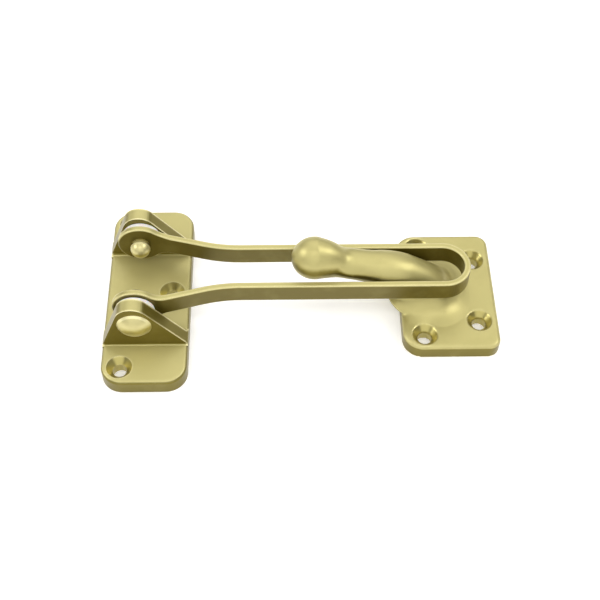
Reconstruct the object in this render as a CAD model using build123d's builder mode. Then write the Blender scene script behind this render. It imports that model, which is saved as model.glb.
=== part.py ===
"""Door guard: a U-shaped swing bar on a two-eared hinge plate, and a keeper
whose neck and knob stand up through the bar's loop.

Frame: the origin is the centre of the hinge plate's back face, +X runs along
the bar from its pivots to its closed end, +Z stands out from the door.
"""

import os
from math import atan2, copysign, cos, degrees, radians, sin, tan

from build123d import *

# ---------------------------------------------------------------- dimensions
# Plates, both cast to one thickness and flush at the back
plate_thickness = 5.6
plate_edge_round = 1.2

# Hinge plate, seen from the front
hinge_width = 27.8  # along X
hinge_length = 71.6  # along Y
hinge_corner_radius = 7.0

# Screw holes, countersunk for a No. 8 flat head
screw_hole_diameter = 4.6
screw_head_diameter = 8.4
screw_head_angle = 82
hinge_hole_side_inset = 6.05  # from the plate's long edges
hinge_hole_end_inset = 6.1  # from the plate's short edges

# Pivot axis, parallel to Y
pivot_height = 10.5  # above the plates' front faces
pivot_side_inset = 11.4  # from the hinge plate's outer long edge

# Ears
ear_spacing = 32.6  # between their inner faces
ear_thickness = 4.7
ear_crown_height = 18.7  # above the plate's front face
ear_crown_radius = 5.4
ear_crown_offset = 0.45  # of the crown's centre from the pivot, outward
ear_inner_root_radius = 1.2
ear_outer_root_radius = 0.8

# Swing bar
bar_thickness = 2.1
bar_depth = 7.4  # the strip stands on edge, so this is its height
bar_gap = 13.5  # between the straight arms
bar_reach = 109.2  # from the pivot to the outside of the closed end
bar_flare_angle = 14.5  # of the slanting run, from the straight arms
bar_flare_start = 7.2  # from the pivot to the first bend
bar_first_bend_radius = 14.0
bar_second_bend_radius = 50.0
bar_eye_radius = 7.6
bar_eye_root_radius = 9.0

# Spacers and rivets
spacer_radius = 6.25
spacer_clearance = 0.1  # to the eye that turns beside it
shank_radius = 2.7
shank_clearance = 0.05  # radial, in every bore
dome_radius = 5.6
dome_height = 2.7
head_radius = 3.35
head_standoff = 1.45  # bare shank between the eye and the formed head
spacer_thickness = 2.1

# Keeper plate
keeper_width = 31.8  # along X
keeper_length = 47.0  # along Y
keeper_inner_corner_radius = 6.5  # under the bar
keeper_outer_corner_radius = 4.0  # past the closed end
keeper_end_margin = 9.55  # from the bar's closed end to the plate's outer edge
keeper_inner_hole_inset = 7.1  # from the edge under the bar
keeper_outer_hole_inset = 6.2  # from the edge past the closed end
keeper_inner_hole_spacing = 36.3  # across the wide pair
keeper_outer_hole_spacing = 25.4  # across the narrow pair

# Keeper neck and knob
knob_diameter = 15.2  # seen from the side
knob_blend = 0.35  # radius where it runs into the neck, share of its diameter
knob_clearance = 0.15  # to each arm of the bar
knob_overhang = 29.0  # from the keeper plate's inner edge to the knob's centre
knob_lift = 17.9  # of the knob's centre above the plate's front face
neck_root_length = 20.5  # along X, at its fullest just above the plate
neck_root_breadth = 23.4  # along Y, at its foot
neck_root_inset = 0.3  # of the root's foot from the plate's inner edge
neck_depth = 0.66  # of the slim part, across its run, share of the knob's diameter

# ---------------------------------------------------------- derived positions
front = plate_thickness  # the plates' front faces
pivot_x = -hinge_width / 2 + pivot_side_inset
pivot_z = front + pivot_height
bore_radius = shank_radius + shank_clearance

ear_inner_y = ear_spacing / 2
ear_outer_y = ear_inner_y + ear_thickness
eye_outer_y = ear_inner_y - spacer_thickness - spacer_clearance
eye_inner_y = eye_outer_y - bar_thickness
head_seat_y = eye_inner_y - head_standoff

arm_y = (bar_gap + bar_thickness) / 2  # centre line of a straight arm
eye_y = (eye_outer_y + eye_inner_y) / 2  # centre line of an eye
loop_end_x = pivot_x + bar_reach

keeper_x = loop_end_x + keeper_end_margin - keeper_width / 2
keeper_inner_x = keeper_x - keeper_width / 2
knob_breadth = bar_gap - 2 * knob_clearance
knob_x = keeper_inner_x - knob_overhang
knob_z = front + knob_lift

os.makedirs("parts", exist_ok=True)

# ---------------------------------------------------------------- hinge plate
# The ear's two outlines: its front view, from slope to slope over a round
# crown, and its section along Y, thick at the root with a concave foot.
crown = Vector(pivot_x - ear_crown_offset, front + ear_crown_height - ear_crown_radius)
foot_left = Vector(-hinge_width / 2, front)
foot_right = Vector(hinge_width / 2, front)

with BuildPart() as ear:
    with BuildSketch(Plane.YZ) as section:
        with BuildLine():
            Polyline(
                (ear_inner_y - ear_inner_root_radius, front / 2),
                (ear_inner_y - ear_inner_root_radius, front),
                (ear_inner_y, front),
                (ear_inner_y, front + ear_crown_height),
                (ear_outer_y, front + ear_crown_height),
                (ear_outer_y, front),
                (ear_outer_y + ear_outer_root_radius, front),
                (ear_outer_y + ear_outer_root_radius, front / 2),
                close=True,
            )
        make_face()
        for corner_y, radius in (
            (ear_inner_y, ear_inner_root_radius),
            (ear_outer_y, ear_outer_root_radius),
        ):
            fillet(
                section.vertices()
                .sort_by_distance((corner_y, front, 0))
                .first,
                radius=radius * 0.98,
            )
    extrude(amount=hinge_width / 2, both=True)
    with BuildSketch(Plane.XZ) as front_view:
        with BuildLine():
            to_left = foot_left - crown
            to_right = foot_right - crown
            turn_left = degrees(atan2(to_left.Y, to_left.X)) - degrees(
                atan2((to_left.length**2 - ear_crown_radius**2) ** 0.5, ear_crown_radius)
            )
            turn_right = degrees(atan2(to_right.Y, to_right.X)) + degrees(
                atan2((to_right.length**2 - ear_crown_radius**2) ** 0.5, ear_crown_radius)
            )
            crown_arc = CenterArc(
                crown, ear_crown_radius, turn_right, (turn_left - turn_right) % 360
            )
            Polyline(
                crown_arc @ 1,
                foot_left,
                (foot_left.X, 0),
                (foot_right.X, 0),
                foot_right,
                crown_arc @ 0,
            )
        make_face()
    extrude(amount=hinge_length, both=True, mode=Mode.INTERSECT)

with BuildPart() as hinge_plate:
    with BuildSketch() as outline:
        RectangleRounded(hinge_width, hinge_length, hinge_corner_radius)
    extrude(amount=plate_thickness)
    fillet(
        hinge_plate.faces().sort_by(Axis.Z)[-1].outer_wire().edges(),
        radius=plate_edge_round,
    )

    add(ear.part)
    mirror(ear.part, about=Plane.XZ)

    # The pivot's bore goes through both ears
    with BuildSketch(Plane.XZ):
        with Locations((pivot_x, pivot_z)):
            Circle(bore_radius)
    extrude(amount=hinge_length, both=True, mode=Mode.SUBTRACT)

    hole_x = hinge_width / 2 - hinge_hole_side_inset
    hole_y = hinge_length / 2 - hinge_hole_end_inset
    with Locations((-hole_x, -hole_y, front), (-hole_x, hole_y, front), (hole_x, 0, front)):
        CounterSinkHole(
            radius=screw_hole_diameter / 2,
            counter_sink_radius=screw_head_diameter / 2,
            counter_sink_angle=screw_head_angle,
        )
hinge_plate.part.label = "hinge_plate"
export_step(hinge_plate.part, "parts/hinge_plate.step")

# ------------------------------------------------------------------ swing bar
# Seen from the front the strip is a U; seen from the side each end is an eye.
flare_run = (eye_y - arm_y) / tan(radians(bar_flare_angle))
first_bend_x = pivot_x + bar_flare_start
second_bend_x = first_bend_x + flare_run
loop_centre_x = loop_end_x - bar_thickness - bar_gap / 2

with BuildPart() as swing_bar:
    with BuildSketch(Plane.XY.offset(pivot_z - bar_eye_radius)) as strip:
        with BuildLine() as arm:
            near_arm = FilletPolyline(
                (pivot_x - bar_eye_radius, -eye_y),
                (first_bend_x, -eye_y),
                (second_bend_x, -arm_y),
                (loop_centre_x, -arm_y),
                radius=(bar_first_bend_radius, bar_second_bend_radius),
            )
            loop = ThreePointArc(
                (loop_centre_x, -arm_y),
                (loop_centre_x + arm_y, 0),
                (loop_centre_x, arm_y),
            )
            mirror(near_arm, about=Plane.XZ)
        trace(line_width=bar_thickness)
    extrude(amount=2 * bar_eye_radius)

    with BuildSketch(Plane.XZ) as side_view:
        with Locations((pivot_x, pivot_z)):
            Circle(bar_eye_radius)
            Rectangle(bar_reach, bar_depth, align=(Align.MIN, Align.CENTER))
        fillet(
            side_view.vertices()
            .filter_by(lambda v: abs(v.X - pivot_x) < bar_eye_radius),
            radius=bar_eye_root_radius,
        )
        with Locations((pivot_x, pivot_z)):
            Circle(bore_radius, mode=Mode.SUBTRACT)
    extrude(amount=hinge_length, both=True, mode=Mode.INTERSECT)
swing_bar.part.label = "swing_bar"
export_step(swing_bar.part, "parts/swing_bar.step")

# ------------------------------------------------------------ spacers, rivets
# Made on the far side (+Y) and mirrored to the near side.
with BuildPart() as spacer_far:
    with BuildSketch(Plane.XZ.offset(-ear_inner_y)):
        with Locations((pivot_x, pivot_z)):
            Circle(spacer_radius)
            Circle(bore_radius, mode=Mode.SUBTRACT)
    extrude(amount=spacer_thickness)
with BuildPart() as spacer_near:
    mirror(spacer_far.part, about=Plane.XZ)
for spacer, name in ((spacer_far, "spacer_far"), (spacer_near, "spacer_near")):
    spacer.part.label = name
    export_step(spacer.part, f"parts/{name}.step")

dome_sphere_radius = (dome_radius**2 + dome_height**2) / (2 * dome_height)
with BuildPart() as pivot_rivet_far:
    with BuildSketch(Plane.YZ.offset(pivot_x)):
        with BuildLine():
            Polyline(
                (head_seat_y - head_radius, pivot_z),
                (ear_outer_y + dome_height, pivot_z),
            )
            RadiusArc(
                (ear_outer_y + dome_height, pivot_z),
                (ear_outer_y, pivot_z + dome_radius),
                -dome_sphere_radius,
            )
            Polyline(
                (ear_outer_y, pivot_z + dome_radius),
                (ear_outer_y, pivot_z + shank_radius),
                (head_seat_y, pivot_z + shank_radius),
                (head_seat_y, pivot_z + head_radius),
            )
            RadiusArc(
                (head_seat_y, pivot_z + head_radius),
                (head_seat_y - head_radius, pivot_z),
                -head_radius,
            )
        make_face()
    revolve(axis=Axis((pivot_x, 0, pivot_z), (0, 1, 0)))
with BuildPart() as pivot_rivet_near:
    mirror(pivot_rivet_far.part, about=Plane.XZ)
for rivet, name in (
    (pivot_rivet_far, "pivot_rivet_far"),
    (pivot_rivet_near, "pivot_rivet_near"),
):
    rivet.part.label = name
    export_step(rivet.part, f"parts/{name}.step")

# --------------------------------------------------------------------- keeper
# The neck is a loft of oval sections that turn from level, down in the plate, to
# upright, inside the knob. A section is placed by its share of the run and of
# the rise from the root to the knob's centre and by its lean from level, and
# sized by its half depth in the XZ plane and its half breadth along Y. The
# fullness is 2 for an ellipse and more for a squarer oval.
root_half_length = neck_root_length / 2
root_half_breadth = neck_root_breadth / 2
slim_half_depth = neck_depth * knob_diameter / 2
slim_half_breadth = knob_breadth / 2
foot_half_length = 0.85 * root_half_length
root_x = keeper_inner_x + neck_root_inset + foot_half_length
run = root_x - knob_x
neck_sections = [
    # run, rise, lean, half depth, half breadth, fullness
    (0.00, -0.20, 0, foot_half_length, root_half_breadth, 3.2),
    (0.00, 0.00, 3, 1.02 * root_half_length, 1.02 * root_half_breadth, 3.2),
    (0.065, 0.09, 8, 1.06 * root_half_length, 1.50 * slim_half_breadth, 2.8),
    (0.096, 0.21, 18, 0.98 * root_half_length, 1.18 * slim_half_breadth, 2.4),
    (0.145, 0.37, 34, 1.64 * slim_half_depth, 0.98 * slim_half_breadth, 2.15),
    (0.235, 0.55, 52, 1.30 * slim_half_depth, 0.98 * slim_half_breadth, 2),
    (0.40, 0.695, 67, 1.12 * slim_half_depth, 0.93 * slim_half_breadth, 2),
    (0.60, 0.78, 76, 1.02 * slim_half_depth, 0.82 * slim_half_breadth, 2),
    (0.775, 0.85, 78, 0.99 * slim_half_depth, 0.745 * slim_half_breadth, 2),
    (0.95, 0.93, 78, 0.95 * slim_half_depth, 0.68 * slim_half_breadth, 2),
]
oval_angles = [radians(22.5 * step) for step in range(16)]

with BuildPart() as neck:
    for share_of_run, share_of_rise, lean, half_depth, half_breadth, fullness in neck_sections:
        centre = Vector(root_x - share_of_run * run, 0, front + share_of_rise * knob_lift)
        normal = Vector(-sin(radians(lean)), 0, cos(radians(lean)))
        oval = [
            (
                copysign(half_breadth * abs(cos(angle)) ** (2 / fullness), cos(angle)),
                copysign(half_depth * abs(sin(angle)) ** (2 / fullness), sin(angle)),
            )
            for angle in oval_angles
        ]
        with BuildSketch(Plane(origin=centre, x_dir=(0, 1, 0), z_dir=normal)):
            with BuildLine():
                Spline(*oval, periodic=True)
            make_face()
    loft()

# The knob is turned about the neck's line: a ball, a hollow that runs into the
# neck and a stub inside it. Then it is flattened a little between the arms.
knob_radius = knob_diameter / 2
hollow_radius = knob_blend * knob_diameter
stub_radius = slim_half_depth
hollow_lift = stub_radius + hollow_radius
hollow_reach = ((knob_radius + hollow_radius) ** 2 - hollow_lift**2) ** 0.5
hollow_start = degrees(atan2(hollow_lift, hollow_reach))
neck_slope = radians(18)
neck_line = Vector(cos(neck_slope), 0, -sin(neck_slope))

with BuildPart() as knob:
    with BuildSketch(Plane(origin=(knob_x, 0, knob_z), x_dir=neck_line, z_dir=(0, -1, 0))):
        with BuildLine():
            ball = CenterArc((0, 0), knob_radius, hollow_start, 180 - hollow_start)
            hollow = CenterArc(
                (hollow_reach, hollow_lift),
                hollow_radius,
                180 + hollow_start,
                90 - hollow_start,
            )
            Polyline(hollow @ 1, (hollow_reach, 0), ball @ 1)
        make_face()
    revolve(axis=Axis((knob_x, 0, knob_z), neck_line))
    scale(by=(1, knob_breadth / knob_diameter, 1))

with BuildPart() as keeper:
    with BuildSketch() as keeper_outline:
        with Locations((keeper_x, 0)):
            Rectangle(keeper_width, keeper_length)
        corners = keeper_outline.vertices().sort_by(Axis.X)
        fillet(corners[:2], radius=keeper_inner_corner_radius)
        corners = keeper_outline.vertices().group_by(Axis.X)[-1]
        fillet(corners, radius=keeper_outer_corner_radius)
    extrude(amount=plate_thickness)
    fillet(
        keeper.faces().sort_by(Axis.Z)[-1].outer_wire().edges(),
        radius=plate_edge_round,
    )

    inner_hole_x = keeper_inner_x + keeper_inner_hole_inset
    outer_hole_x = keeper_x + keeper_width / 2 - keeper_outer_hole_inset
    with Locations(
        (inner_hole_x, -keeper_inner_hole_spacing / 2, front),
        (inner_hole_x, keeper_inner_hole_spacing / 2, front),
        (outer_hole_x, -keeper_outer_hole_spacing / 2, front),
        (outer_hole_x, keeper_outer_hole_spacing / 2, front),
    ):
        CounterSinkHole(
            radius=screw_hole_diameter / 2,
            counter_sink_radius=screw_head_diameter / 2,
            depth=plate_thickness,
            counter_sink_angle=screw_head_angle,
        )

    add(neck.part)
    add(knob.part)
keeper.part.label = "keeper"
export_step(keeper.part, "parts/keeper.step")
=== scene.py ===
"""A swing-bar door guard in satin brass, seen from above on a pale floor."""

from math import asin, cos, degrees, pi, radians, sin

import bmesh
import bpy
import numpy as np
from mathutils import Matrix, Vector
from mathutils.kdtree import KDTree


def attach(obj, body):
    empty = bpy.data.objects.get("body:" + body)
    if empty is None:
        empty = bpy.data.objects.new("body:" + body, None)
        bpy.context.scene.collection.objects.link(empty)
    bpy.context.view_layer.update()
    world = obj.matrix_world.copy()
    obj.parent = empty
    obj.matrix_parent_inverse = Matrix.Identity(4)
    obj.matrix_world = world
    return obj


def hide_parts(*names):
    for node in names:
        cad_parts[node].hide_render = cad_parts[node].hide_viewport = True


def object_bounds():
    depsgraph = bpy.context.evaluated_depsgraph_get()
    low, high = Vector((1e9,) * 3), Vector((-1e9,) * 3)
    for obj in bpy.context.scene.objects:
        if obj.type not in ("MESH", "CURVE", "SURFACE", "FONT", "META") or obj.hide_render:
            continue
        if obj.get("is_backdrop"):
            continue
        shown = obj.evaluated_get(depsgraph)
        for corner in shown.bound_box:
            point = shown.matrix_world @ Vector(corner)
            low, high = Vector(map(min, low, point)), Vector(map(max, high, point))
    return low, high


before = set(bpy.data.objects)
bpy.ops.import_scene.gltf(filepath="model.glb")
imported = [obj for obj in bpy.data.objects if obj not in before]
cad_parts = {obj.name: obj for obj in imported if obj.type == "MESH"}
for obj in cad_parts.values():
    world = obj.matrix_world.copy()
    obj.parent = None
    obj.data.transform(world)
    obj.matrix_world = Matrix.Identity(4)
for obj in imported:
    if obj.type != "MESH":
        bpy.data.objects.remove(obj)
cad_low, cad_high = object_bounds()
scene = bpy.context.scene
MM = 0.001


# ---- Hinge plate ----
# Brass casting: a plate with rounded top edges, two ears that carry the bar, and
# three countersunk holes. Every edge has a small round that catches the light. Its
# colour holds painted light where it faces up or down and painted shade on its sides.
HINGE_EDGE_ROUND = 0.45 * MM
MERGE_WITHIN = 1e-6
FLAT_WITHIN = radians(0.4)
SHARP_FROM = radians(35)
SHADED_TOGETHER = radians(42)
FLAT_FACE_AREA = 2.5e-6
# Painted light and painted shade: the paler brass for what faces up or down, the darker for the
# sides
BRASS_PAINTED_LIT = "#BDB374"
BRASS_PAINTED_SHADE = "#776C27"
# Painted highlight for the edges that face up
EDGE_PAINTED_HIGHLIGHT = "#FFF6BE"
# Painted shade for the corners
CORNER_PAINTED_SHADE = "#665B1E"
# How much painted corner shade and painted edge highlight is mixed in, at most
CORNER_SHADE_MOST, EDGE_HIGHLIGHT_MOST = 0.3, 0.8
SATIN_ROUGHNESS = 0.41
# How far the painted corner shade reaches
CORNER_SHADE_REACH = 2.2 * MM
# How far in from an edge the painted highlight reaches
EDGE_HIGHLIGHT_REACH = 0.8 * MM
# The cut countersinks' brass in painted light and in painted shade
CUT_BRASS_PAINTED_LIT = "#CDC48C"
CUT_BRASS_PAINTED_SHADE = "#B8AD69"
CUT_ROUGHNESS = 0.33
PLATE_BACK, PLATE_FRONT = 0.05 * MM, 5.56 * MM
HOLE_MOUTH = 4.15 * MM
HINGE_HOLES = [(-7.85 * MM, -29.7 * MM), (-7.85 * MM, 29.7 * MM), (7.85 * MM, 0)]
TUMBLE_GRAIN = 0.3 * MM
TUMBLE_DEPTH = 0.004 * MM
CAST_MOTTLE = 9 * MM


def linear(hex_code):
    """An sRGB hex colour as linear RGBA."""
    channels = (int(hex_code[i : i + 2], 16) / 255 for i in (1, 3, 5))
    return (*(c / 12.92 if c <= 0.04045 else ((c + 0.055) / 1.055) ** 2.4 for c in channels), 1)


def add_node(material, kind, settings=None, **inputs):
    """A shader node with its settings, its values, and its links to other sockets."""
    node = material.node_tree.nodes.new(kind)
    for key, value in (settings or {}).items():
        setattr(node, key, value)
    for name, value in inputs.items():
        socket = node.inputs[name.replace("_", " ")]
        if isinstance(value, bpy.types.NodeSocket):
            material.node_tree.links.new(value, socket)
        else:
            socket.default_value = value
    return node


def lacquered_brass(
    name, lit_colour, shaded_colour, roughness, painted_light_reach=(0.04, 0.32), metal_shares=(0.86, 0.62)
):
    """Satin brass under clear lacquer. Its fine grain blurs what it reflects. Painted
    light makes the faces that look up or down paler than the sides, which are in painted
    shade, painted shade darkens the corners, and a painted highlight brightens the edges
    that face up. The metal shares, of sides and faces, leave room for a matt veil."""
    material = bpy.data.materials.new(name)
    material.use_nodes = True
    material.node_tree.nodes.clear()
    where = add_node(material, "ShaderNodeTexCoord")
    place = where.outputs["Object"]
    facing = add_node(material, "ShaderNodeSeparateXYZ", Vector=where.outputs["Normal"])
    level = add_node(material, "ShaderNodeMath", {"operation": "ABSOLUTE"})
    material.node_tree.links.new(facing.outputs["Z"], level.inputs[0])
    # Painted light and shade: faces that look up or down get the paler colour and the sides the
    # darker one, with a random mottle on the share
    painted_light_share = add_node(
        material,
        "ShaderNodeMapRange",
        {"interpolation_type": "SMOOTHSTEP"},
        Value=level.outputs["Value"],
        From_Min=painted_light_reach[0],
        From_Max=painted_light_reach[1],
    )
    mottle = add_node(
        material,
        "ShaderNodeTexNoise",
        Vector=place,
        Scale=1 / CAST_MOTTLE,
        Detail=3.0,
        Roughness=0.55,
    )
    uneven = add_node(
        material,
        "ShaderNodeMapRange",
        Value=mottle.outputs["Fac"],
        From_Min=0.3,
        From_Max=0.7,
        To_Min=-0.09,
        To_Max=0.09,
    )
    painted_light_mottled = add_node(material, "ShaderNodeMath", {"operation": "ADD", "use_clamp": True})
    material.node_tree.links.new(painted_light_share.outputs["Result"], painted_light_mottled.inputs[0])
    material.node_tree.links.new(uneven.outputs["Result"], painted_light_mottled.inputs[1])
    finish = add_node(
        material, "ShaderNodeMix", {"data_type": "RGBA"}, Factor=painted_light_mottled.outputs["Value"]
    )
    finish.inputs["A"].default_value = linear(shaded_colour)
    finish.inputs["B"].default_value = linear(lit_colour)
    # Painted shade: a darker colour mixed in where the surface is hemmed in, in corners and at
    # the feet of the ears
    shelter = add_node(
        material,
        "ShaderNodeAmbientOcclusion",
        {"samples": 8, "only_local": True},
        Distance=CORNER_SHADE_REACH,
    )
    corner_shade_share = add_node(
        material,
        "ShaderNodeMapRange",
        Value=shelter.outputs["AO"],
        From_Min=0.25,
        From_Max=0.85,
        To_Min=CORNER_SHADE_MOST,
        To_Max=0.0,
    )
    corner_shaded = add_node(
        material, "ShaderNodeMix", {"data_type": "RGBA"}, Factor=corner_shade_share.outputs["Result"]
    )
    material.node_tree.links.new(finish.outputs["Result"], corner_shaded.inputs["A"])
    corner_shaded.inputs["B"].default_value = linear(CORNER_PAINTED_SHADE)
    # Painted highlight: a pale colour mixed in along the rounded edges that face up
    corner = add_node(
        material,
        "ShaderNodeAmbientOcclusion",
        {"samples": 8, "only_local": True, "inside": True},
        Distance=EDGE_HIGHLIGHT_REACH,
    )
    edge_highlight_share = add_node(
        material,
        "ShaderNodeMapRange",
        Value=corner.outputs["AO"],
        From_Min=0.68,
        From_Max=0.93,
        To_Min=EDGE_HIGHLIGHT_MOST,
        To_Max=0.0,
    )
    upward = add_node(
        material,
        "ShaderNodeMapRange",
        {"interpolation_type": "SMOOTHSTEP"},
        Value=level.outputs["Value"],
        From_Min=0.25,
        From_Max=0.6,
    )
    painted_edge_highlight = add_node(material, "ShaderNodeMath", {"operation": "MULTIPLY", "use_clamp": True})
    material.node_tree.links.new(edge_highlight_share.outputs["Result"], painted_edge_highlight.inputs[0])
    material.node_tree.links.new(upward.outputs["Result"], painted_edge_highlight.inputs[1])
    colour = add_node(
        material, "ShaderNodeMix", {"data_type": "RGBA"}, Factor=painted_edge_highlight.outputs["Value"]
    )
    material.node_tree.links.new(corner_shaded.outputs["Result"], colour.inputs["A"])
    colour.inputs["B"].default_value = linear(EDGE_PAINTED_HIGHLIGHT)
    grain = add_node(
        material, "ShaderNodeTexNoise", Vector=place, Scale=1 / TUMBLE_GRAIN, Detail=2.0
    )
    bump = add_node(
        material,
        "ShaderNodeBump",
        Height=grain.outputs["Fac"],
        Strength=0.35,
        Distance=TUMBLE_DEPTH,
    )
    gloss = add_node(
        material,
        "ShaderNodeMapRange",
        Value=painted_light_mottled.outputs["Value"],
        To_Min=roughness - 0.03,
        To_Max=roughness + 0.04,
    )
    metal_share = add_node(
        material,
        "ShaderNodeMapRange",
        Value=painted_light_mottled.outputs["Value"],
        To_Min=metal_shares[0],
        To_Max=metal_shares[1],
    )
    shader = add_node(
        material,
        "ShaderNodeBsdfPrincipled",
        Base_Color=colour.outputs["Result"],
        Metallic=metal_share.outputs["Result"],
        Roughness=gloss.outputs["Result"],
        Normal=bump.outputs["Normal"],
        Coat_Weight=0.15,
        Coat_Roughness=0.3,
    )
    output = add_node(material, "ShaderNodeOutputMaterial")
    material.node_tree.links.new(shader.outputs["BSDF"], output.inputs["Surface"])
    return material


def even_normals(mesh):
    """Shades the flat faces flat and lets the rounds between them run into them."""
    flats = {p.index for p in mesh.polygons if p.area > FLAT_FACE_AREA}
    around = [[] for _ in mesh.vertices]
    for polygon in mesh.polygons:
        for vertex in polygon.vertices:
            around[vertex].append(polygon)
    normals = []
    for polygon in mesh.polygons:
        for vertex in polygon.vertices:
            near = [
                q for q in around[vertex] if q.normal.dot(polygon.normal) > cos(SHADED_TOGETHER)
            ]
            flat = [q for q in near if q.index in flats]
            if polygon.index in flats:
                normals.append(polygon.normal.copy())
            elif flat:
                normals.append(max(flat, key=lambda q: q.area).normal.copy())
            else:
                normals.append(sum((q.normal * q.area for q in near), Vector()).normalized())
    mesh.shade_smooth()
    mesh.normals_split_custom_set(normals)


def rounded_copy(node_name, name, edge_round, segments=3, keep_apart=True):
    """A merged copy of a CAD node with its sharp edges rounded over, the rounds kept
    from running into each other where it says so."""
    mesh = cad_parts[node_name].data.copy()
    mesh.name = name
    form = bmesh.new()
    form.from_mesh(mesh)
    bmesh.ops.remove_doubles(form, verts=form.verts, dist=MERGE_WITHIN)
    bmesh.ops.dissolve_limit(form, angle_limit=FLAT_WITHIN, verts=form.verts, edges=form.edges)
    sharp = [e for e in form.edges if len(e.link_faces) == 2 and e.calc_face_angle() > SHARP_FROM]
    bmesh.ops.bevel(
        form,
        geom=sharp,
        offset=edge_round,
        offset_type="OFFSET",
        segments=segments,
        profile=0.5,
        affect="EDGES",
        clamp_overlap=keep_apart,
    )
    form.to_mesh(mesh)
    form.free()
    mesh.materials.clear()
    even_normals(mesh)
    piece = bpy.data.objects.new(name, mesh)
    scene.collection.objects.link(piece)
    return piece


def cut_countersinks(mesh, holes, material):
    """Gives the cones and bores of a plate's screw holes the finish of the cutter."""
    mesh.materials.append(material)
    for polygon in mesh.polygons:
        spot = polygon.center
        if PLATE_BACK < spot.z < PLATE_FRONT and any(
            (spot.x - x) ** 2 + (spot.y - y) ** 2 < HOLE_MOUTH**2 for x, y in holes
        ):
            polygon.material_index = len(mesh.materials) - 1


# Painted light on the plate and the crowns against painted shade on the sides: the
# paler colour reaches the flat faces and the crowns, and not the ears' slopes
cast_brass = lacquered_brass(
    "hinge_cast_brass",
    BRASS_PAINTED_LIT,
    BRASS_PAINTED_SHADE,
    SATIN_ROUGHNESS,
    painted_light_reach=(0.66, 0.86),
    metal_shares=(0.8, 0.42),
)
hinge_plate = rounded_copy("hinge_plate", "hinge_casting", HINGE_EDGE_ROUND)
hinge_plate.data.materials.append(cast_brass)
# The countersinks are cut after casting, so they are smoother and paler, and the
# lamps leave small patches of bright and dark round the cone. Painted shade darkens
# the cones and bores, and painted light only what faces almost straight up
cut_brass = lacquered_brass(
    "cut_brass", CUT_BRASS_PAINTED_LIT, CUT_BRASS_PAINTED_SHADE, CUT_ROUGHNESS, (0.8, 0.98)
)
cut_countersinks(hinge_plate.data, HINGE_HOLES, cut_brass)
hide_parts("hinge_plate")
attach(hinge_plate, "fixed_plates")


# ---- Pivot rivets ----
# Turned brass rivets, one for each ear: a wide low dome outside the ear and a
# small ball-formed head inside the bar's eye. One outline is turned about the
# pivot, and a half turn of the whole rivet makes the other.
PIVOT_X = -2.5 * MM
PIVOT_Z = 16.1 * MM
EAR_OUTER_Y = 21.0 * MM
EYE_INNER_Y = 12.0 * MM
DOME_RADIUS = 5.6 * MM
DOME_HEIGHT = 2.7 * MM
SHANK_RADIUS = 2.7 * MM
HEAD_RADIUS = 3.35 * MM
HEAD_STANDOFF = 1.45 * MM
TURNED_SEGMENTS = 72
# Painted light and painted shade of the turned rivets
TURNED_BRASS_PAINTED_LIT = "#CFC58A"
TURNED_BRASS_PAINTED_SHADE = "#BBB06C"
RIVET_ROUGHNESS = 0.36


def arc(centre, radius, start, end, steps):
    """Points of an arc in an outline, with angles in degrees."""
    turns = (radians(start + (end - start) * i / steps) for i in range(steps + 1))
    return [(centre[0] + radius * cos(t), centre[1] + radius * sin(t)) for t in turns]


def turned_pair_tree():
    """Turns an outline about the pivot, then sets it at both ends of the pivot."""
    tree = bpy.data.node_groups.new("turned_pair", "GeometryNodeTree")
    for socket_name, kind in (
        ("Outline", "NodeSocketGeometry"),
        ("Turning radius", "NodeSocketFloat"),
        ("Segments", "NodeSocketInt"),
        ("Pivot", "NodeSocketVector"),
        ("Finish", "NodeSocketMaterial"),
    ):
        tree.interface.new_socket(socket_name, in_out="INPUT", socket_type=kind)
    tree.interface.new_socket("Pair", in_out="OUTPUT", socket_type="NodeSocketGeometry")
    sizes = tree.nodes.new("NodeGroupInput")
    outline = tree.nodes.new("GeometryNodeMeshToCurve")
    lathe = tree.nodes.new("GeometryNodeCurvePrimitiveCircle")
    turn = tree.nodes.new("GeometryNodeCurveToMesh")
    merge = tree.nodes.new("GeometryNodeMergeByDistance")
    lay_over = tree.nodes.new("GeometryNodeTransform")
    stations = tree.nodes.new("GeometryNodePoints")
    station = tree.nodes.new("GeometryNodeInputIndex")
    half_turn = tree.nodes.new("ShaderNodeMath")
    about_z = tree.nodes.new("ShaderNodeCombineXYZ")
    place = tree.nodes.new("GeometryNodeInstanceOnPoints")
    realize = tree.nodes.new("GeometryNodeRealizeInstances")
    finish = tree.nodes.new("GeometryNodeSetMaterial")
    pair = tree.nodes.new("NodeGroupOutput")
    merge.inputs["Distance"].default_value = MERGE_WITHIN
    lay_over.inputs["Rotation"].default_value = (radians(-90), 0, 0)
    stations.inputs["Count"].default_value = 2
    half_turn.operation = "MULTIPLY"
    half_turn.inputs[1].default_value = radians(180)
    for source, target in (
        (sizes.outputs["Outline"], outline.inputs["Mesh"]),
        (sizes.outputs["Segments"], lathe.inputs["Resolution"]),
        (sizes.outputs["Turning radius"], lathe.inputs["Radius"]),
        (lathe.outputs["Curve"], turn.inputs["Curve"]),
        (outline.outputs["Curve"], turn.inputs["Profile Curve"]),
        (turn.outputs["Mesh"], merge.inputs["Geometry"]),
        (merge.outputs["Geometry"], lay_over.inputs["Geometry"]),
        (sizes.outputs["Pivot"], stations.inputs["Position"]),
        (station.outputs["Index"], half_turn.inputs[0]),
        (half_turn.outputs["Value"], about_z.inputs["Z"]),
        (stations.outputs["Points"], place.inputs["Points"]),
        (lay_over.outputs["Geometry"], place.inputs["Instance"]),
        (about_z.outputs["Vector"], place.inputs["Rotation"]),
        (place.outputs["Instances"], realize.inputs["Geometry"]),
        (realize.outputs["Geometry"], finish.inputs["Geometry"]),
        (sizes.outputs["Finish"], finish.inputs["Material"]),
        (finish.outputs["Geometry"], pair.inputs["Pair"]),
    ):
        tree.links.new(source, target)
    return tree


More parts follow.
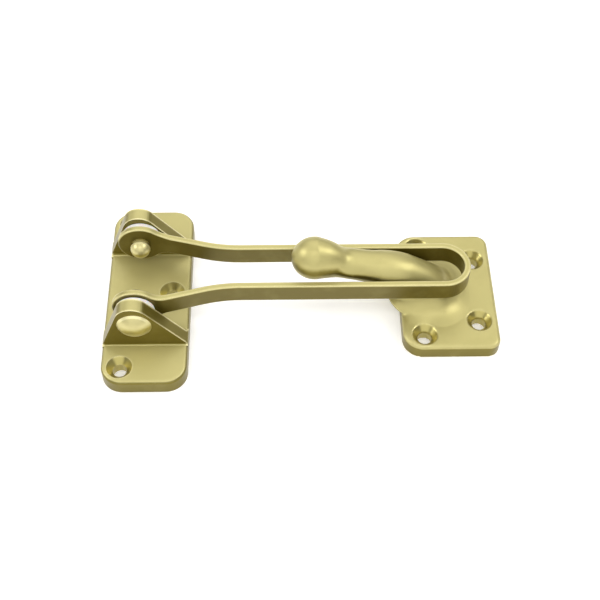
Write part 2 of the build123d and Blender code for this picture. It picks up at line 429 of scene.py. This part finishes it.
def turned_pair(name, outline, closed, material, turning_radius):
    """Two turned pieces at the pivot's ends, from points (radius, distance along it)."""
    count = len(outline)
    profile = bpy.data.meshes.new(name + "_outline")
    profile.from_pydata(
        [(r - turning_radius, along, 0) for r, along in outline],
        [(i, (i + 1) % count) for i in range(count if closed else count - 1)],
        [],
    )
    blank = bpy.data.objects.new(name + "_outline", profile)
    scene.collection.objects.link(blank)
    turning = blank.modifiers.new("turning", "NODES")
    turning.node_group = pair_tree
    values = {
        "Turning radius": turning_radius,
        "Segments": TURNED_SEGMENTS,
        "Pivot": (PIVOT_X, 0, PIVOT_Z),
        "Finish": material,
    }
    for item in pair_tree.interface.items_tree:
        if item.name in values:
            turning[item.identifier] = values[item.name]
    evaluated = blank.evaluated_get(bpy.context.evaluated_depsgraph_get())
    mesh = bpy.data.meshes.new_from_object(evaluated)
    bpy.data.objects.remove(blank)
    mesh.name = name
    form = bmesh.new()
    form.from_mesh(mesh)
    bmesh.ops.recalc_face_normals(form, faces=form.faces)
    form.to_mesh(mesh)
    form.free()
    mesh.shade_smooth()
    mesh.set_sharp_from_angle(angle=radians(40))
    piece = bpy.data.objects.new(name, mesh)
    scene.collection.objects.link(piece)
    return piece


pair_tree = turned_pair_tree()
# Turned brass, the palest of all, with painted light where it faces up or down
# and a milder painted shade on its sides
turned_brass = lacquered_brass(
    "turned_brass", TURNED_BRASS_PAINTED_LIT, TURNED_BRASS_PAINTED_SHADE, RIVET_ROUGHNESS
)
dome_ball = (DOME_RADIUS**2 + DOME_HEIGHT**2) / (2 * DOME_HEIGHT)
dome_edge = degrees(asin(DOME_RADIUS / dome_ball))
head_seat = EYE_INNER_Y - HEAD_STANDOFF
rivet_outline = [
    *arc((0, head_seat), HEAD_RADIUS, -90, 0, 14),
    (SHANK_RADIUS, head_seat),
    (SHANK_RADIUS, EAR_OUTER_Y),
    (DOME_RADIUS, EAR_OUTER_Y),
    *arc((0, EAR_OUTER_Y + DOME_HEIGHT - dome_ball), dome_ball, 90 - dome_edge, 90, 14)[1:],
]
rivets = turned_pair("pivot_rivets", rivet_outline, False, turned_brass, SHANK_RADIUS)
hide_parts("pivot_rivet_near", "pivot_rivet_far")
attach(rivets, "fixed_plates")


# ---- Spacers ----
# Nylon washers between each ear and the bar's eye, moulded white, which keep
# brass from running on brass.
EAR_INNER_Y = 16.3 * MM
SPACER_RADIUS = 6.25 * MM
SPACER_BORE = 2.75 * MM
SPACER_THICKNESS = 2.1 * MM
SPACER_EDGE_ROUND = 0.25 * MM
NYLON_WHITE = "#F4EFEA"
NYLON_GRAIN, NYLON_GRAIN_DEPTH = 0.4 * MM, 0.004 * MM
NYLON_SCATTER = 0.6 * MM

moulded_nylon = bpy.data.materials.new("moulded_nylon")
moulded_nylon.use_nodes = True
moulded_nylon.node_tree.nodes.clear()
# Nylon is a little see-through at its edges and has a fine, faintly uneven skin
nylon_grain = add_node(
    moulded_nylon,
    "ShaderNodeTexNoise",
    Vector=add_node(moulded_nylon, "ShaderNodeTexCoord").outputs["Object"],
    Scale=1 / NYLON_GRAIN,
    Detail=2.0,
)
nylon_bump = add_node(
    moulded_nylon,
    "ShaderNodeBump",
    Height=nylon_grain.outputs["Fac"],
    Strength=0.2,
    Distance=NYLON_GRAIN_DEPTH,
)
nylon_shader = add_node(
    moulded_nylon,
    "ShaderNodeBsdfPrincipled",
    Base_Color=linear(NYLON_WHITE),
    Roughness=0.45,
    Normal=nylon_bump.outputs["Normal"],
    IOR=1.53,
    Subsurface_Weight=0.25,
    Subsurface_Scale=NYLON_SCATTER,
)
nylon_output = add_node(moulded_nylon, "ShaderNodeOutputMaterial")
moulded_nylon.node_tree.links.new(nylon_shader.outputs["BSDF"], nylon_output.inputs["Surface"])

inner, outer, corner = EAR_INNER_Y - SPACER_THICKNESS, EAR_INNER_Y, SPACER_EDGE_ROUND
spacer_outline = [
    (SPACER_BORE, outer),
    (SPACER_BORE, inner),
    *arc((SPACER_RADIUS - corner, inner + corner), corner, -90, 0, 4),
    *arc((SPACER_RADIUS - corner, outer - corner), corner, 0, 90, 4),
]
spacers = turned_pair("nylon_spacers", spacer_outline, True, moulded_nylon, SPACER_BORE)
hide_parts("spacer_near", "spacer_far")
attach(spacers, "fixed_plates")


# ---- Swing bar ----
# One strip of brass, bent on edge into a U whose ends spread and swell into
# eyes. Its long edges are rolled over before it is bent.
BAR_EDGE_ROUND = 0.5 * MM
BAR_ROUND_SEGMENTS = 5
# Painted shade on the strip's broad sides
ROLLED_BRASS_PAINTED_SHADE = "#695E1E"

swing_bar = rounded_copy(
    "swing_bar", "bent_strip_bar", BAR_EDGE_ROUND, BAR_ROUND_SEGMENTS, keep_apart=False
)
# Painted shade on the strip's dark matt sides, and painted light on its top and
# bottom edges
rolled_brass = lacquered_brass(
    "rolled_strip_brass",
    BRASS_PAINTED_LIT,
    ROLLED_BRASS_PAINTED_SHADE,
    SATIN_ROUGHNESS,
    metal_shares=(0.6, 0.62),
)
swing_bar.data.materials.append(rolled_brass)
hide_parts("swing_bar")
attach(swing_bar, "bar")


# ---- Keeper ----
# Casting with four countersunk holes: a neck rises from the plate, leans back
# over the bar's slot and ends in a knob. It is cast in one piece, so the neck runs
# into the plate and the knob in broad hollow corners, which are eased here.
KEEPER_GRID = 0.33 * MM
# The knob is pear-shaped: balls along the neck's line draw it out (x, z, radius),
# as narrow for their height as the knob is
KNOB_FILLING = [
    (x * MM, z * MM, radius * MM)
    for x, z, radius in (
        (57.5, 23.2, 7.2),
        (58.9, 22.8, 6.85),
        (60.2, 22.4, 6.4),
        (61.5, 22.0, 5.85),
        (62.8, 21.6, 5.3),
        (64.1, 21.0, 4.95),
        (65.7, 20.3, 4.8),
        (67.4, 19.7, 4.7),
        (69.2, 19.2, 4.6),
    )
]
KNOB_BREADTH = 0.865
HOLLOW_REACH = 3.0 * MM
FIRST_PASSES, FILLING_PASSES = 45, 420
# Boxes in which every hollow is filled: behind the knob, and around the root
FILLED = (
    (Vector((56.5, -9.0, 8.0)) * MM, Vector((77.0, 9.0, 34.0)) * MM),
    (Vector((86.5, -15.0, 5.9)) * MM, Vector((115.0, 15.0, 21.0)) * MM),
)
FILL_MARGIN = 1.5 * MM
KEEPER_HOLES = [
    (x * MM, y * MM)
    for x, y in ((91.55, -18.15), (91.55, 18.15), (110.05, -12.7), (110.05, 12.7))
]
HOLE_MARGIN, HOLE_FADE = 4.6 * MM, 1.2 * MM
PLATE_LEFT = 84.45 * MM
CRISP_WIDTH, CRISP_FADE, CRISP_HEIGHT = 0.8 * MM, 2.5 * MM, 4.0 * MM
EASE_STEP = 0.9
HOLLOW_TURN = 950.0  # of the normals, in radians a metre

keeper_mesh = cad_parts["keeper"].data.copy()
form = bmesh.new()
form.from_mesh(keeper_mesh)
bmesh.ops.remove_doubles(form, verts=form.verts, dist=MERGE_WITHIN)
for ball_x, ball_z, ball_radius in KNOB_FILLING:
    place = Matrix.Translation((ball_x, 0, ball_z)) @ Matrix.Diagonal((1, KNOB_BREADTH, 1, 1))
    bmesh.ops.create_icosphere(form, subdivisions=5, radius=ball_radius, matrix=place)
form.to_mesh(keeper_mesh)
form.free()
keeper_blank = bpy.data.objects.new("keeper_blank", keeper_mesh)
scene.collection.objects.link(keeper_blank)
even_grid = keeper_blank.modifiers.new("even_grid", "REMESH")
even_grid.mode = "VOXEL"
even_grid.voxel_size = KEEPER_GRID
keeper_cast = bpy.data.meshes.new_from_object(
    keeper_blank.evaluated_get(bpy.context.evaluated_depsgraph_get())
)
bpy.data.objects.remove(keeper_blank)
keeper_cast.name = "keeper_casting"

count = len(keeper_cast.vertices)
points = np.empty(count * 3)
keeper_cast.vertices.foreach_get("co", points)
points = points.reshape(-1, 3)
normals = np.empty(count * 3, dtype=np.float32)
keeper_cast.vertices.foreach_get("normal", normals)
normals = normals.reshape(-1, 3)
ends = np.empty(len(keeper_cast.edges) * 2, dtype=np.int32)
keeper_cast.edges.foreach_get("vertices", ends)
first, second = ends.reshape(-1, 2).T
neighbours = np.bincount(first, minlength=count) + np.bincount(second, minlength=count)
# An edge whose normals lean towards each other lies in a hollow corner
closing = -np.einsum("ij,ij->i", normals[second] - normals[first], points[second] - points[first])
closing /= ((points[second] - points[first]) ** 2).sum(1)
hollow = np.zeros(count)
np.maximum.at(hollow, first, closing)
np.maximum.at(hollow, second, closing)
corner_points = KDTree(int((hollow > HOLLOW_TURN).sum()))
for i in np.flatnonzero(hollow > HOLLOW_TURN):
    corner_points.insert(points[i], int(i))
corner_points.balance()
distance = np.array([corner_points.find(p)[2] for p in points])
ease = np.clip(1 - distance / HOLLOW_REACH, 0, 1)
ease = ease * ease * (3 - 2 * ease)
for low, high in FILLED:
    inside = np.minimum(points - np.array(low), np.array(high) - points).min(1)
    ease = np.maximum(ease, np.clip(inside / FILL_MARGIN, 0, 1))
for hole_x, hole_y in KEEPER_HOLES:
    from_hole = np.hypot(points[:, 0] - hole_x, points[:, 1] - hole_y)
    ease *= np.clip((from_hole - HOLE_MARGIN) / HOLE_FADE, 0, 1)
# The plate's edge under the neck stays crisp, from its left face to the root
above_plate = (points[:, 2] - PLATE_FRONT) / CRISP_HEIGHT
from_left = (points[:, 0] - PLATE_LEFT - CRISP_WIDTH) / CRISP_FADE
ease *= np.clip(np.maximum(above_plate, from_left), 0, 1)
ease = EASE_STEP * ease[:, None]
for turn in range(FIRST_PASSES + FILLING_PASSES):
    if turn == FIRST_PASSES:
        first_eased = points.copy()
    total = np.stack(
        [
            np.bincount(first, weights=points[second, axis], minlength=count)
            + np.bincount(second, weights=points[first, axis], minlength=count)
            for axis in range(3)
        ],
        axis=1,
    )
    points += ease * (total / neighbours[:, None] - points)
    # After the first few, the passes only add metal: what sinks goes back up
    if turn >= FIRST_PASSES:
        sunk = np.minimum(np.einsum("ij,ij->i", points - first_eased, normals), 0)
        points -= sunk[:, None] * normals
keeper_cast.vertices.foreach_set("co", points.astype(np.float32).ravel())
keeper_cast.update()
keeper_cast.shade_smooth()
keeper_cast.materials.clear()
# Painted light reaches the knob and neck on all but their steepest sides, so they
# are as pale as the flat faces
keeper_brass = lacquered_brass(
    "keeper_cast_brass", BRASS_PAINTED_LIT, BRASS_PAINTED_SHADE, SATIN_ROUGHNESS
)
keeper_cast.materials.append(keeper_brass)
cut_countersinks(keeper_cast, KEEPER_HOLES, cut_brass)
keeper = bpy.data.objects.new("keeper_casting", keeper_cast)
scene.collection.objects.link(keeper)
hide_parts("keeper")
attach(keeper, "fixed_plates")


# ---- Floor ----
# A wide pale sheet just under the plates. The camera and the metal see it white out
# to the horizon, and it keeps the guard's own shadow.
FLOOR_COLOUR = "#F3F2F0"
FLOOR_ROUGHNESS = 0.9
FLOOR_SIZE = 60.0
FLOOR_GAP = 0.05 * MM
# The sheet glows a little near the guard, where the lamps add the rest, and fully
# where no lamp reaches. It grows over this stretch, measured from the middle.
GLOW_NEAR, GLOW_FAR = 0.34, 1.0
GLOW_FROM, GLOW_TO = 0.3, 1.5

floor_mesh = bpy.data.meshes.new("floor")
half = FLOOR_SIZE / 2
middle_x = (cad_low.x + cad_high.x) / 2
floor_z = cad_low.z - FLOOR_GAP
floor_mesh.from_pydata(
    [
        (middle_x - half, -half, floor_z),
        (middle_x + half, -half, floor_z),
        (middle_x + half, half, floor_z),
        (middle_x - half, half, floor_z),
    ],
    [],
    [(0, 1, 2, 3)],
)
floor = bpy.data.objects.new("floor", floor_mesh)
scene.collection.objects.link(floor)
pale_sheet = bpy.data.materials.new("pale_sheet")
pale_sheet.use_nodes = True
pale_sheet.node_tree.nodes.clear()
sheet_links = pale_sheet.node_tree.links

# The glow shows only to rays that look at the sheet, so it throws no light on the
# guard: the camera's rays, and those that come off metal or through glass
rays = add_node(pale_sheet, "ShaderNodeLightPath")
looked_at = rays.outputs["Is Camera Ray"]
for ray in ("Is Glossy Ray", "Is Transmission Ray"):
    either = add_node(pale_sheet, "ShaderNodeMath", {"operation": "MAXIMUM"})
    sheet_links.new(looked_at, either.inputs[0])
    sheet_links.new(rays.outputs[ray], either.inputs[1])
    looked_at = either.outputs["Value"]
away = add_node(pale_sheet, "ShaderNodeVectorMath", {"operation": "LENGTH"})
sheet_place = add_node(pale_sheet, "ShaderNodeTexCoord").outputs["Object"]
sheet_links.new(sheet_place, away.inputs[0])
glow = add_node(
    pale_sheet,
    "ShaderNodeMapRange",
    Value=away.outputs["Value"],
    From_Min=GLOW_FROM,
    From_Max=GLOW_TO,
    To_Min=GLOW_NEAR,
    To_Max=GLOW_FAR,
)
seen_glow = add_node(pale_sheet, "ShaderNodeMath", {"operation": "MULTIPLY"})
sheet_links.new(looked_at, seen_glow.inputs[0])
sheet_links.new(glow.outputs["Result"], seen_glow.inputs[1])

sheet_shader = add_node(
    pale_sheet,
    "ShaderNodeBsdfPrincipled",
    Base_Color=linear(FLOOR_COLOUR),
    Roughness=FLOOR_ROUGHNESS,
    Emission_Color=linear(FLOOR_COLOUR),
    Emission_Strength=seen_glow.outputs["Value"],
)
sheet_output = add_node(pale_sheet, "ShaderNodeOutputMaterial")
sheet_links.new(sheet_shader.outputs["BSDF"], sheet_output.inputs["Surface"])
floor_mesh.materials.append(pale_sheet)
floor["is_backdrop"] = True


# ---- Lights ----
# A light tent: wide soft boxes behind and in front light the flat faces and the
# knob, a narrow one overhead draws the lines along the rounded edges, and two at
# the sides put a soft highlight on each shoulder of the knob.
SURROUND_LEVEL = 0.15


def soft_box(name, direction, distance, size, level, target):
    """A rectangular area lamp that faces the target, at a level where 1 is white."""
    lamp = bpy.data.lights.new(name, "AREA")
    lamp.shape = "RECTANGLE"
    lamp.size, lamp.size_y = size
    lamp.energy = level * pi * size[0] * size[1]
    holder = bpy.data.objects.new(name, lamp)
    holder.location = target + Vector(direction).normalized() * distance
    holder.rotation_euler = (target - holder.location).to_track_quat("-Z", "Y").to_euler()
    scene.collection.objects.link(holder)
    return holder


middle = Vector((middle_x, 0, 10 * MM))
soft_box("back_box", (0, 0.56, 0.83), 1.0, (1.3, 1.3), 1.26, middle)
soft_box("front_box", (0, -0.85, 0.53), 1.0, (1.6, 0.85), 1.15, middle)
soft_box("top_box", (0, -0.38, 0.92), 0.9, (0.9, 0.26), 2.8, middle)
soft_box("left_box", (-0.82, -0.06, 0.56), 1.0, (0.6, 0.42), 5.2, middle)
soft_box("right_box", (0.71, 0.04, 0.7), 1.0, (0.5, 0.3), 7.2, middle)
world = bpy.data.worlds.new("studio")
scene.world = world
world.use_nodes = True
world.node_tree.nodes["Background"].inputs["Color"].default_value = (1, 1, 1, 1)
world.node_tree.nodes["Background"].inputs["Strength"].default_value = SURROUND_LEVEL


# ---- Camera ----
# It looks down at the guard from the front, turned a fraction of a degree, with
# the picture shifted as the photograph is framed.
PICTURE = 600
FOCAL_PIXELS = 1105.0
CENTRE_PIXEL = (286.76, 297.27)
ELEVATION = radians(54.0)
TURN = radians(0.663)
DISTANCE = 371.15 * MM
AIM_X = 46.34 * MM
AIM_Y = -2.65 * MM
AIM_Z = 5.6 * MM
SENSOR = 36.0

camera_data = bpy.data.cameras.new("camera")
camera_data.sensor_width = SENSOR
camera_data.lens = FOCAL_PIXELS / PICTURE * SENSOR
camera_data.shift_x = (PICTURE / 2 - CENTRE_PIXEL[0]) / PICTURE
camera_data.shift_y = (CENTRE_PIXEL[1] - PICTURE / 2) / PICTURE
camera_data.clip_start = 10 * MM
camera = bpy.data.objects.new("camera", camera_data)
unturn = Matrix.Rotation(-TURN, 4, "Z")
stand = unturn @ Vector((0, -DISTANCE * cos(ELEVATION), DISTANCE * sin(ELEVATION)))
camera.matrix_world = (
    Matrix.Translation(stand + Vector((AIM_X, AIM_Y, AIM_Z)))
    @ unturn
    @ Matrix.Rotation(radians(90) - ELEVATION, 4, "X")
)
scene.collection.objects.link(camera)
scene.camera = camera
scene.view_settings.view_transform = "Standard"

low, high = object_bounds()
